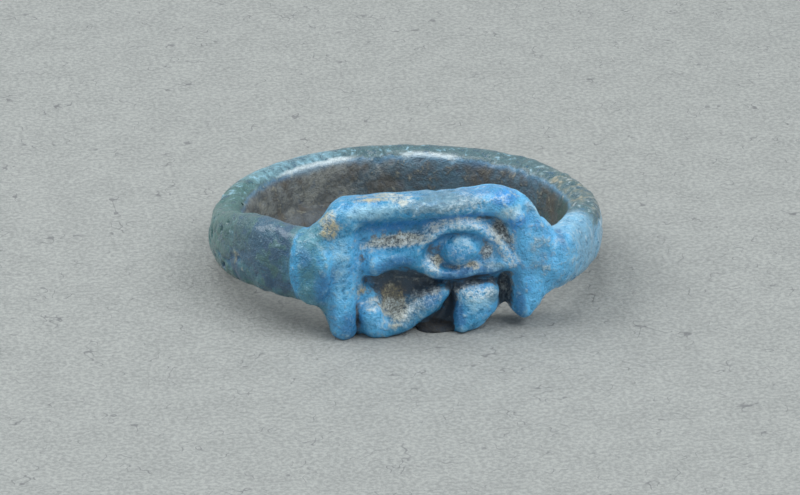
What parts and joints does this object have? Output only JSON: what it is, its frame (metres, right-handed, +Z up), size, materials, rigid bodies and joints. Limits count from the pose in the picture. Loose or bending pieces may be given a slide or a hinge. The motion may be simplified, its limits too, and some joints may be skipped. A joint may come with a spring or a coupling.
{
  "type": "faience finger ring",
  "caption": "Band-shaped finger ring of blue glazed faience with a rectangular bezel that carries a sacred eye in high relief under a brow bar.",
  "frame": {"origin": "on the table, under the middle of the ring's bounding box", "axes": "+Z up from the table, -Y towards the bezel's carved face, +X along the bezel to the eye's inner corner"},
  "size_m": [0.021, 0.0194, 0.0075],
  "materials": {
    "blue_faience": "worn blue-green glaze with brown burial dirt in the hollows"
  },
  "bodies": {
    "root": {"faience_ring": "blue_faience"}
  },
  "joints": []
}
